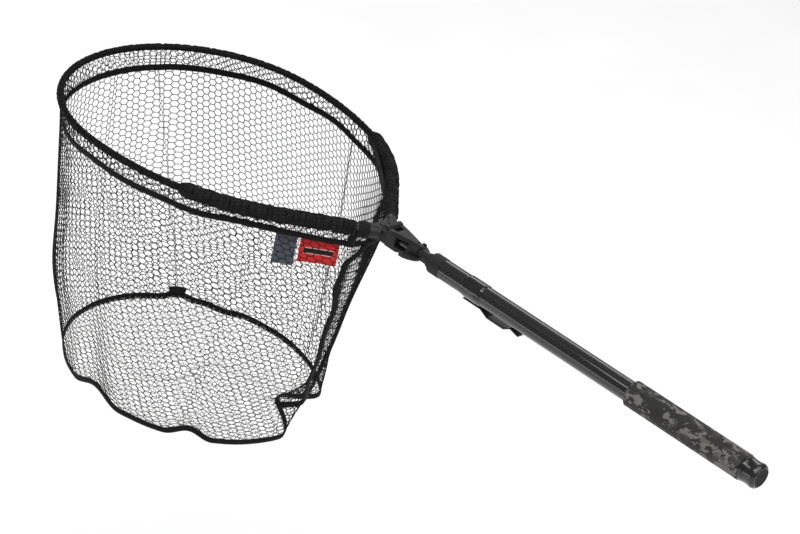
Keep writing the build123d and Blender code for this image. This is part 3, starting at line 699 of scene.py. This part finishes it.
def gathered(u, depth):
    """Draw the cells together along the lines where the net bunches up."""
    for top, bottom, half, strength in GATHERS:
        away = (u - (top + (bottom - top) * depth) + 1.0) % 2.0 - 1.0
        u = u - away * strength * np.exp(-(away / half) ** 2)
    return u


def wall_place(s, t):
    """Wall point for a column and a row counted down from the upper band."""
    ds, dt = unevenness(s, t)
    edge = np.clip(np.minimum(t, WALL_ROWS - t) / 3.0, 0.0, 1.0)
    depth = wall_depth(t + dt * edge)
    u = wall_u(s + ds, depth)
    seam = np.interp(depth, SEAM_DEPTH, SEAM_U)
    past, short = np.maximum(u - seam, 0.0), np.maximum(seam - 2.0 - u, 0.0)
    return bag_surface(gathered(u + (short - past) * (1.0 - SEAM_OVERLAP), depth), depth)


def inside_seam(s, t):
    """Cells of the wall whose middle lies between the two edges that the seam joins."""
    depth = wall_depth(t)
    u = wall_u(s, depth)
    seam = np.interp(depth, SEAM_DEPTH, SEAM_U)
    return (u < seam) & (u > seam - 2.0)


def make_wall():
    piece = hex_net("net_wall", wall_place, FAR_COLUMNS + NEAR_COLUMNS, WALL_ROWS, STRAND, keep=inside_seam)
    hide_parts(*(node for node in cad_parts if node.startswith("bag_wall_")))


SKIRT_ROWS = 3
SKIRT_LAYERS = (("net_skirt_outer", 0.0, 0.0), ("net_skirt_inner", 0.0035, 0.4))  # inset, shift in columns


def skirt_place(s, t, inset, shift):
    """Skirt point between the rim and the upper band, for one of its two layers."""
    share = np.clip(t / SKIRT_ROWS, -0.1, 1.1)
    u = 2.0 * (s + shift + 0.2 * np.sin(1.1 * s)) / COLUMNS
    push = -inset * np.sin(pi * np.clip(share, 0, 1)) - inset * 0.3
    if inset:
        depth, aside = band_line(u)
        return bag_surface(u, share * depth, push + aside * share)
    return bag_surface(u, share * BAND_DEPTH, push)


def make_skirt():
    """Two layers of net between the rim and the upper band, stitched together in the band."""
    for name, inset, shift in SKIRT_LAYERS:
        piece = hex_net(name, lambda s, t: skirt_place(s, t, inset, shift), COLUMNS, SKIRT_ROWS, STRAND,
                        close_columns=True)
        if inset == 0.0:
            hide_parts("bag_skirt")


BASE_SAG = 0.013
BASE_STRAND, BASE_STRAND_HALF = 0.00125, 0.00042
BASE_MARGIN = 0.006
TUCKED_UNDER = 0.0008  # how far a cell's middle may lie past the rim, under the tape


def base_edge_radius(angle):
    """Distance from the base's middle to its lower edge at an angle, and the edge's height."""
    x, y, dent, z = base_rim(angle / pi)
    return np.hypot((x - BASE_X), y) * (1.0 - dent), z


def base_plan(s, t):
    """Plan point of a column and a row of the base's net, with its angle and distance from the middle."""
    x = BASE_LOW.x - BASE_MARGIN + s * COLUMN_STEP * HEX_SIDE
    y = BASE_LOW.y - BASE_MARGIN + t * CELL_HEIGHT
    return x, y, np.arctan2(y / BASE_HALF[1], (x - BASE_X) / BASE_HALF[0]), np.hypot(x - BASE_X, y)


def base_place(s, t):
    """Point of the bottom panel: the flat net is held inside its rim and sags a little."""
    x, y, angle, distance = base_plan(s, t)
    limit, edge_z = base_edge_radius(angle)
    distance = np.maximum(distance, 1e-9)
    share = np.minimum(distance / limit, 1.0)
    shrink = share * limit / distance
    near = np.clip(share, 0, 1) ** 3
    sag = BASE_SAG * (1.0 - share**9) * (0.7 + 0.3 * np.sin(7.0 * share + angle * 3))
    z = BASE_Z + (edge_z - BASE_Z) * near - sag
    return np.stack([BASE_X + (x - BASE_X) * shrink, y * shrink, z], -1)


def inside_base(s, t):
    """Cells of the bottom panel whose middle lies inside the rim."""
    _, _, angle, distance = base_plan(s, t)
    return distance < base_edge_radius(angle)[0] + TUCKED_UNDER


def make_base():
    size = (BASE_HIGH.x - BASE_LOW.x, BASE_HIGH.y - BASE_LOW.y)
    columns = int((size[0] + 2 * BASE_MARGIN) / (COLUMN_STEP * HEX_SIDE)) + 2
    rows = int((size[1] + 2 * BASE_MARGIN) / CELL_HEIGHT) + 2
    # The bottom panel's net takes the pale material whose colour is painted light from above.
    piece = hex_net("net_base", base_place, columns, rows, BASE_STRAND, BASE_STRAND_HALF, BASE_NET_PAINTED_LIGHT,
                    keep=inside_base)
    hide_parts("bag_base")


# -------- tapes
def strip_on_bag(name, u, depth, width, thickness, push, closed=False):
    """Ribbon lying on the bag's wall along a line of u and depth, its width square to the line."""
    centre = bag_surface(u, depth, push)
    reach = SURFACE_STEP
    normal = unit(np.cross(bag_surface(u + reach, depth, push) - bag_surface(u - reach, depth, push),
                           bag_surface(u, depth + reach, push) - bag_surface(u, depth - reach, push)))
    if closed:
        tangent = np.roll(centre, -1, 0) - np.roll(centre, 1, 0)
    else:
        tangent = np.gradient(centre, axis=0)
    return ribbon(name, centre, unit(np.cross(normal, tangent)), normal, width, thickness, closed)


BAND_WIDTH = 0.009
BAND_POINTS = 480
UPPER_THICK, LOWER_THICK, SEAM_THICK = 0.0016, 0.0018, 0.0016
ON_CLOTH = 0.0012  # how far a tape's middle stands off the net
END_TAPES = (("tape_end_right", 1.955), ("tape_end_left", 0.045))
END_WIDTH, END_THICK, END_RISE, END_DROP = 0.011, 0.0022, 0.006, 0.012  # rise and drop are depths
LAP_U, LAP_DEPTH, LAP_WIDTH, LAP_THICK = (0.772, 0.812), 0.985, 0.014, 0.0026
SEAM_WIDTH, SEAM_POINTS, SHORT_POINTS = 0.0092, 160, 24


def band_line(u):
    """Depth and outward push of the upper band, which rises by the float and stands in at the tip."""
    depth = BAND_DEPTH + 0.004 * np.sin(2 * pi * 5.5 * u) * np.sin(pi * u) ** 2
    depth = depth - 0.012 * hump(180.0 * u, -40.0, 30.0)
    return depth, -0.008 * hump(180.0 * u, 180.0, 65.0)


def make_bands():
    u = np.linspace(0, 2, BAND_POINTS, endpoint=False)
    depth, push = band_line(u)
    upper = strip_on_bag("tape_upper", u, depth, BAND_WIDTH, UPPER_THICK, push, closed=True)
    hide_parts("upper_band")
    lower = strip_on_bag("tape_lower", u, np.ones_like(u), BAND_WIDTH, LOWER_THICK, 0.0, closed=True)
    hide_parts("base_band")


def make_bindings():
    """Tape that binds the ends of the net beside the head, and the lapped ends of the lower tape."""
    depth = np.linspace(-END_RISE, BAND_DEPTH + END_DROP, SHORT_POINTS)
    for name, u in END_TAPES:
        end = strip_on_bag(name, np.full_like(depth, u), depth, END_WIDTH, END_THICK, ON_CLOTH)
    u = np.linspace(*LAP_U, SHORT_POINTS)
    lap = strip_on_bag("tape_lap", u, np.full_like(u, LAP_DEPTH), LAP_WIDTH, LAP_THICK, -ON_CLOTH)


BUNCH_LENGTH = 0.0155
BUNCH_R = (0.0087, 0.0092)
BUNCH_RINGS, BUNCH_TURNS = 30, 44


def bunch_radius(d, a):
    """Radius of the bunched net, fullest in its middle and pleated."""
    swell = np.sin(pi * (d - d[0]) / (d[-1] - d[0]))
    pleat = 0.0007 * np.sin(9 * a + 220 * d) + 0.0004 * np.sin(14 * a - 500 * d)
    return BUNCH_R[1] + 0.0014 * np.sqrt(np.maximum(swell, 0.0)) + pleat * swell


def make_bunch():
    """Net bunched round the right arm between its float and the head, over the ferrule."""
    along = np.linspace(FLOAT_NEAR + 0.0004, FLOAT_NEAR + BUNCH_LENGTH, BUNCH_RINGS)
    make_sleeve("net_bunch", -1.0, along, BUNCH_TURNS, bunch_radius, BUNCH_R[0], NET)


def make_seam():
    """Tape over the side seam, which wanders down the wall below the head and into the fold of the base."""
    steps = np.linspace(0, len(SEAM_ROUTE) - 1, SEAM_POINTS)
    u, depth = smooth_line(steps, SEAM_U), smooth_line(steps, SEAM_DEPTH)
    seam = strip_on_bag("tape_seam", u, depth, SEAM_WIDTH, SEAM_THICK, ON_CLOTH)
    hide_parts("seam_tape")


def smooth_line(steps, values):
    """Catmull-Rom interpolation of values at fractional positions."""
    k = np.clip(np.floor(steps).astype(int), 0, len(values) - 2)
    f = steps - k
    before, after = values[np.maximum(k - 1, 0)], values[np.minimum(k + 2, len(values) - 1)]
    a, b = values[k], values[k + 1]
    return 0.5 * (2 * a + (b - before) * f + (2 * before - 5 * a + 4 * b - after) * f**2
                  + (3 * a - before - 3 * b + after) * f**3)


# -------- rim and floats
LINE_STEP = 0.0005


def on_line(distance):
    """Point of the hoop's line; distance runs from the tip, positive on the +Y side."""
    x = np.interp(np.abs(distance), HOOP_LENGTHS, HOOP[:, 0])
    y = np.interp(np.abs(distance), HOOP_LENGTHS, HOOP[:, 1])
    return x, y * np.where(distance >= 0, 1.0, -1.0)


def tube_grid(along, turns):
    """Angles round a tube, and the grid of lengths and angles over it."""
    angle = np.linspace(0, 2 * pi, turns, endpoint=False)
    return angle, *np.meshgrid(along, angle, indexing="ij")


def make_sleeve(name, side, along, turns, radius, bore, material):
    """Thick-walled tube round the hoop's line; radius(d, a) is its outside at a length and an angle."""
    angle, d, a = tube_grid(along, turns)
    outer = tube_surface(side * d, a, radius(d, a))
    inner = tube_surface(side * along[[-1, 0]][:, None], angle[None], bore)
    rings = np.concatenate([outer, inner]).reshape(-1, 3)
    return make_piece(name, rings, tube_faces(len(along) + 2, turns, True, side < 0), material)


def tube_surface(distance, angle, radius):
    """Point on a tube about the hoop's line."""
    distance, angle, radius = np.broadcast_arrays(distance, angle, radius)
    x, y = on_line(distance)
    x2, y2 = on_line(distance + LINE_STEP)
    x1, y1 = on_line(distance - LINE_STEP)
    dx, dy = x2 - x1, y2 - y1
    size = np.maximum(np.hypot(dx, dy), 1e-12)
    out_x, out_y = -dy / size, dx / size
    return np.stack([x + out_x * radius * np.cos(angle), y + out_y * radius * np.cos(angle),
                     radius * np.sin(angle)], -1)


ARC_ENDS = np.cumsum([radius * radians(turn) for radius, turn in HOOP_ARCS])
FLOAT_TAPER = 0.012
FLOAT_TIP_R = 0.0062
FLOAT_FAR = ARC_ENDS[1] + 0.025
SOCKET_AND_FERRULE = 0.0196
FLOAT_NEAR = HOOP_LENGTHS[-1] - SOCKET_AND_FERRULE
FLOAT_R = 0.0092
FLOAT_BORE_R = 0.0036
FLOAT_ROWS = 6
FLOAT_RINGS, FLOAT_TURNS = 150, 28
FLOAT_STRAND = 0.0014
FLOAT_LAYERS = (("a", 0.0, 0.0003), ("b", 0.5, 0.0006))  # shift in rows and rise of each layer of net


def float_radius(distance):
    """Radius of a float's skin, drawn in at both ends."""
    far = np.clip((distance - FLOAT_FAR) / FLOAT_TAPER, 0.0, 1.0)
    near = np.clip((FLOAT_NEAR - distance) / 0.006, 0.0, 1.0)
    lumps = 0.00035 * np.sin(distance * 260.0) + 0.0002 * np.sin(distance * 610.0 + 1.0)
    swell = np.sin(far * pi / 2) * np.sqrt(near * (2 - near))
    return FLOAT_TIP_R + (FLOAT_R - FLOAT_TIP_R) * swell + lumps * far * near


def lumpy_radius(d, a):
    return float_radius(d) + 0.00025 * np.sin(3 * a + 90 * d) + 0.0002 * np.sin(5 * a - 170 * d)


def make_floats():
    along = np.linspace(FLOAT_FAR, FLOAT_NEAR, FLOAT_RINGS)
    columns = int((FLOAT_NEAR - FLOAT_FAR) / (COLUMN_STEP * HEX_SIDE))
    step = (FLOAT_NEAR - FLOAT_FAR) / columns
    for side, node in ((1.0, "float_left"), (-1.0, "float_right")):
        piece = make_sleeve(f"foam_{node}", side, along, FLOAT_TURNS, lumpy_radius, FLOAT_BORE_R, FOAM)
        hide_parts(node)
        for layer, shift, rise in FLOAT_LAYERS:

            def place(s, t, shift=shift, rise=rise):
                d = np.clip(FLOAT_FAR + (s + 0.25 * np.sin(1.3 * t + s)) * step, FLOAT_FAR, FLOAT_NEAR)
                turn = 2 * pi * (t + shift + 0.12 * np.sin(1.9 * s)) / FLOAT_ROWS
                return tube_surface(side * d, turn, float_radius(d) + rise)

            hex_net(f"net_{node}_{layer}", place, columns, FLOAT_ROWS, FLOAT_STRAND, close_rows=True)


RIM_ROWS = 4
RIM_RINGS, RIM_TURNS = 520, 16
RIM_CORE_R = 0.0038
RIM_STRAND, RIM_COLUMN = 0.0015, 0.0052
RIM_LAYERS = (("net_rim_a", 0.0, 0.0041), ("net_rim_b", 0.5, 0.0044))  # shift in cells and radius


def make_rim():
    """Mesh wound round the hoop tube between the floats: a dark core and two layers of net."""
    _, d, a = tube_grid(np.linspace(-FLOAT_FAR, FLOAT_FAR, RIM_RINGS), RIM_TURNS)
    core = tube_surface(d, a, RIM_CORE_R + 0.0001 * np.sin(4 * a + 700 * d)).reshape(-1, 3)
    piece = make_piece("rim_core", core, tube_faces(RIM_RINGS, RIM_TURNS, False, False), NET)
    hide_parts("rim_sleeve")
    columns = int(2 * FLOAT_FAR / RIM_COLUMN)
    step = 2 * FLOAT_FAR / columns
    for name, shift, radius in RIM_LAYERS:

        def place(s, t, shift=shift, radius=radius):
            d = np.clip((s + shift + 0.3 * np.sin(0.9 * s + t)) * step - FLOAT_FAR, -FLOAT_FAR, FLOAT_FAR)
            return tube_surface(d, 2 * pi * (t + shift + 0.2 * np.sin(0.7 * s)) / RIM_ROWS, radius)

        hex_net(name, place, columns, RIM_ROWS, RIM_STRAND, close_rows=True)


# -------- labels
LABEL_RIB = 0.0007
HEM_INSET, HEM_HALF, HEM_STITCH = 0.0022, 0.0003, 0.0026
STRIPE_END, STRIPE_EDGE = 0.006, 0.0009


def label_cloth(name, ground, shade, edge, size, stripe=None):
    """Woven label with a stitched border and, on one, a plain stripe."""
    width, height = size
    s = Shader(name)
    x, y = s.metres()
    warp = s.math("SINE", s.times(x, 2 * pi / LABEL_RIB))
    weft = s.math("SINE", s.times(y, 2 * pi / LABEL_RIB))
    weave = s.plus(s.times(s.times(warp, weft), 0.5), 0.5)
    fuzz = s.noise(s.coordinates(), 500.0, 4.0)
    cloth = s.mix(s.times(s.plus(weave, fuzz), 0.5), ground, shade)
    from_side = s.math("MINIMUM", x, s.minus(width, x))
    from_end = s.math("MINIMUM", y, s.minus(height, y))
    from_edge = s.math("MINIMUM", from_side, from_end)
    hem = s.math("LESS_THAN", s.math("ABSOLUTE", s.minus(from_edge, HEM_INSET)), HEM_HALF)
    beat = s.math("FLOORED_MODULO", s.math("DIVIDE", s.plus(x, y), HEM_STITCH), 1.0)
    stitches = s.times(hem, s.math("LESS_THAN", beat, 0.7))
    if stripe:
        middle, half, ink, line = stripe
        away = s.math("ABSOLUTE", s.minus(y, middle))
        inside = s.math("GREATER_THAN", from_side, STRIPE_END)
        cloth = s.mix(s.times(inside, s.math("LESS_THAN", away, half + STRIPE_EDGE)), cloth, line)
        cloth = s.mix(s.times(inside, s.math("LESS_THAN", away, half)), cloth, ink)
    s.colour(s.mix(stitches, cloth, edge))
    s.roughness(fuzz, 0.7, 0.92)
    s.bump(s.plus(weave, s.times(stitches, 2.0)), 0.00012, 0.7)
    s.set(Sheen_Weight=0.15, Specular_IOR_Level=0.25)
    return s.material


LABEL_COLUMNS, LABEL_ROWS = 28, 24
LABEL_HALF = 0.0004  # half the cloth's thickness


def make_label(name, node, material, size):
    """Soft label hanging from the upper band, a grid with a slight curl, in the place of its CAD node."""
    width, height = size
    low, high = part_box(node)
    node_points = np.array([v.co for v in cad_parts[node].data.vertices])
    flat = node_points[:, :2] - node_points[:, :2].mean(0)
    direction = np.linalg.svd(flat)[2][0]
    direction = direction * np.sign(direction[0])
    middle = np.array([(low.x + high.x) / 2, (low.y + high.y) / 2])
    normal = np.array([-direction[1], direction[0]])
    points, corners = [], []
    for layer in (1, -1):
        for j in range(LABEL_ROWS + 1):
            for i in range(LABEL_COLUMNS + 1):
                a, b = i / LABEL_COLUMNS, j / LABEL_ROWS
                curl = 0.0016 * sin(pi * a * 1.3) * b + 0.0022 * b * b * (a - 0.4)
                plan = middle + direction * (a - 0.5) * width + normal * (curl + layer * LABEL_HALF)
                points.append((plan[0], plan[1], high.z - b * height))
                corners.append((a * width, (1 - b) * height))
    row, last = LABEL_COLUMNS + 1, LABEL_ROWS * (LABEL_COLUMNS + 1)
    back = last + row
    faces = []
    for j in range(LABEL_ROWS):
        for k in range(j * row, j * row + LABEL_COLUMNS):
            faces.append((k, k + row, k + row + 1, k + 1))
            faces.append(tuple(q + back for q in (k, k + 1, k + row + 1, k + row)))
    border = [*range(LABEL_COLUMNS), *range(LABEL_COLUMNS, last + LABEL_COLUMNS, row)]
    border += [*range(last + LABEL_COLUMNS, last, -1), *range(last, 0, -row)]
    for here, there in zip(border, border[1:] + border[:1]):
        faces.append((here, there, there + back, here + back))
    uv = [corners[q] for face in faces for q in face]
    piece = make_piece(name, points, faces, material, uv=uv)
    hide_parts(node)


SOFT_PIECES = ("net_wall", "net_skirt_outer", "net_skirt_inner", "net_base", "tape_upper", "tape_lower",
               "tape_seam", "tape_lap", "tape_end_right", "tape_end_left", "label_cloth_grey",
               "label_cloth_red")


def gather_bag():
    """Gives each soft piece of the bag a mesh of its own."""
    for name in SOFT_PIECES:
        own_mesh(bpy.data.objects[name])


def make_labels():
    grey_size, red_size = (0.028, 0.043), (0.050, 0.035)
    grey = label_cloth("label_grey", (0.045, 0.055, 0.075), (0.10, 0.115, 0.145), (0.16, 0.17, 0.2),
                       grey_size)
    red = label_cloth("label_red", (0.62, 0.012, 0.014), (0.80, 0.03, 0.03), (0.35, 0.01, 0.01), red_size,
                      stripe=(0.017, 0.0035, (0.01, 0.01, 0.01), (0.75, 0.72, 0.7)))
    make_label("label_cloth_grey", "grey_tag", grey, grey_size)
    make_label("label_cloth_red", "red_tag", red, red_size)


# -------- release spring
SPRING_WIRE_R = 0.0005
SPRING_PITCH = 0.0028
SPRING_END_X = -0.471  # where the spring bears on the pole
SPRING_LENGTH = 0.014
SPRING_RINGS, SPRING_TURNS = 240, 10


def make_spring():
    """Coil spring behind the release, bearing on the pole."""
    coil_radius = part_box("release_spring")[1].z - SPRING_WIRE_R
    _, a, b = tube_grid(np.linspace(0, 2 * pi * SPRING_LENGTH / SPRING_PITCH, SPRING_RINGS), SPRING_TURNS)
    slope = SPRING_PITCH / (2 * pi * coil_radius)
    lean = SPRING_WIRE_R * np.sin(b) / sqrt(1 + slope**2)
    x = SPRING_END_X - SPRING_LENGTH + SPRING_PITCH * a / (2 * pi) + lean
    radius = coil_radius + SPRING_WIRE_R * np.cos(b)
    aside = -slope * lean / coil_radius
    points = np.stack([x, radius * np.cos(a + aside), radius * np.sin(a + aside)], -1).reshape(-1, 3)
    faces = tube_faces(SPRING_RINGS, SPRING_TURNS, False, False)
    steel = brushed_metal("spring_steel", (0.58, 0.58, 0.6), 0.16, 0.34)
    piece = make_piece("spring_coil", points, faces, steel, body="pole")
    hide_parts("release_spring")
    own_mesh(piece)


# ======== CAD nodes
def finish_cad_nodes():
    """Materials for the nodes that keep their CAD shape."""
    gloss = moulded_plastic("gloss_black", (0.004, 0.004, 0.0045), (0.010, 0.010, 0.011), 0.10, 0.24, 600.0,
                            0.00002, coat=0.7)
    satin = moulded_plastic("satin_black", (0.006, 0.006, 0.0065), (0.014, 0.014, 0.015), 0.30, 0.46)
    matt = moulded_plastic("matt_black", (0.009, 0.009, 0.0095), (0.018, 0.018, 0.019), 0.48, 0.66)
    head = moulded_plastic("head_plastic", (0.008, 0.008, 0.0088), (0.016, 0.016, 0.017), 0.34, 0.50, 1400.0,
                           0.00008)
    grey = moulded_plastic("lock_grey", (0.25, 0.25, 0.26), (0.33, 0.33, 0.34), 0.45, 0.6)
    blackened = brushed_metal("black_oxide_steel", (0.045, 0.045, 0.048), 0.22, 0.4)
    anodised = brushed_metal("anodised_black", (0.03, 0.03, 0.033), 0.28, 0.42)
    drawn = brushed_metal("drawn_alloy", (0.45, 0.46, 0.48), 0.3, 0.45)
    looks = {
        carbon_tube("carbon_weave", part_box("handle_tube")[1].z): ["handle_tube"],
        camouflage_foam("camouflage_foam"): ["grip"],
        gloss: ["butt_cap", "clip_ring", "lock_plunger", "ferrule_left", "ferrule_right"],
        satin: ["belt_clip", "pole_neck"],
        matt: ["butt_disc", "butt_plug", "top_collar", "lock_stem", "lock_nut"],
        head: ["hinge_housing", "release_wings", "yoke", "yoke_cover"],
        grey: ["lock_sleeve"],
        blackened: ["ring_screw", "housing_screw", "hinge_pin", "cover_screw", "side_screws"],
        anodised: ["inner_tube", "pole_insert"],
        drawn: ["hoop_tube"],
    }
    for material, nodes in looks.items():
        for node in nodes:
            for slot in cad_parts[node].material_slots:
                slot.material = material


def lay_floor():
    """Pale studio floor under the bag."""
    half, low = FLOOR_HALF, cad_box[0][2] - FLOOR_DROP
    mesh = bpy.data.meshes.new("floor")
    mesh.from_pydata([(-half, -half, low), (half, -half, low), (half, half, low), (-half, half, low)], [],
                     [(0, 1, 2, 3)])
    mesh.materials.append(floor_material())
    add_object("floor", mesh)


for make in (place_camera, light_studio, lay_floor, make_wall, make_skirt, make_base, make_bands,
             make_bindings, make_seam, make_floats, make_bunch, make_rim, make_labels, gather_bag,
             make_spring, finish_cad_nodes):
    make()
